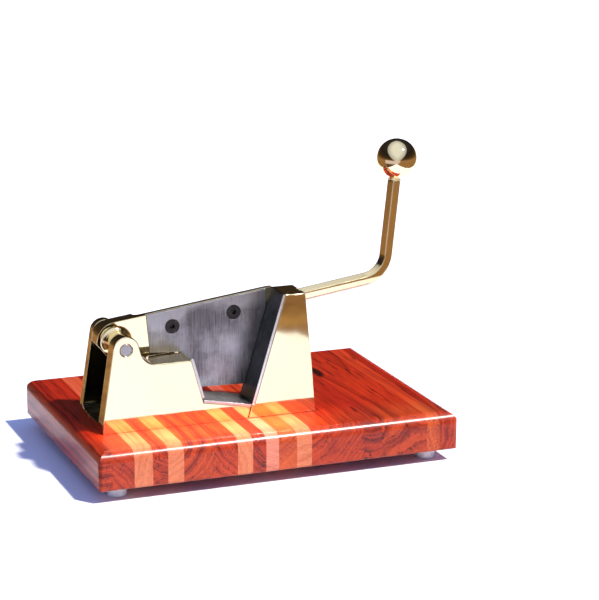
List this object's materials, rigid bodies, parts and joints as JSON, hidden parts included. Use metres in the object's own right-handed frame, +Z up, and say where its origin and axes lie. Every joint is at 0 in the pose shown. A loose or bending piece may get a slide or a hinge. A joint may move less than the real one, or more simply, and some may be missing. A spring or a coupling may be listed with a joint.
{
  "type": "nutcracker",
  "caption": "Lever nutcracker: hinged brass lever with steel jaws closing on a V-shaped nut pocket, ball-ended handle, on a striped hardwood board with feet.",
  "frame": {"origin": "centre of the board's outline, on the table plane under the feet", "axes": "+X along the board towards the handle, +Y from the near face to the back, +Z up"},
  "size_m": [0.3, 0.213, 0.256],
  "materials": {
    "wood_dark": "gloss varnish",
    "wood_mid": "gloss varnish",
    "wood_light": "gloss varnish",
    "foot_rubber": "translucent, satin",
    "polished_brass": "mirror polished",
    "brushed_plate": "brushed upright",
    "satin_steel": "satin",
    "black_screw": "black oxide"
  },
  "bodies": {
    "base": {"board_strip_01": "wood_dark", "board_strip_02": "wood_mid", "board_strip_03": "wood_light", "board_strip_04": "wood_dark", "board_strip_05": "wood_light", "board_strip_06": "wood_dark", "board_strip_07": "wood_dark", "board_strip_08": "wood_light", "board_strip_09": "wood_dark", "board_strip_10": "wood_light", "board_strip_11": "wood_mid", "board_strip_12": "wood_light", "board_strip_13": "wood_mid", "board_strip_14": "wood_dark", "board_strip_15": "wood_mid", "board_strip_16": "wood_light", "board_strip_17": "wood_dark", "fixed_jaw_plate": "satin_steel", "floor_plate": "satin_steel", "foot_front_left": "foot_rubber", "foot_front_right": "foot_rubber", "foot_rear_left": "foot_rubber", "foot_rear_right": "foot_rubber", "foot_screws": "black_screw", "front_casting": "polished_brass", "hinge_pin": "satin_steel", "mounting_screws": "black_screw", "pin_grub_screw": "black_screw", "rear_casting": "polished_brass"},
    "lever": {"lever_casting": "polished_brass", "moving_jaw_plate": "satin_steel", "back_plate": "brushed_plate", "back_plate_screws": "black_screw", "handle_rod": "polished_brass", "rod_grub_screw": "black_screw", "ball_knob": "polished_brass"}
  },
  "joints": [
    {"name": "lever_hinge", "type": "hinge", "parent": "base", "child": "lever", "pos_m": [-0.1141, -0.0312, 0.1072], "axis": [0, -1, 0], "range_deg": [0, 165]}
  ]
}
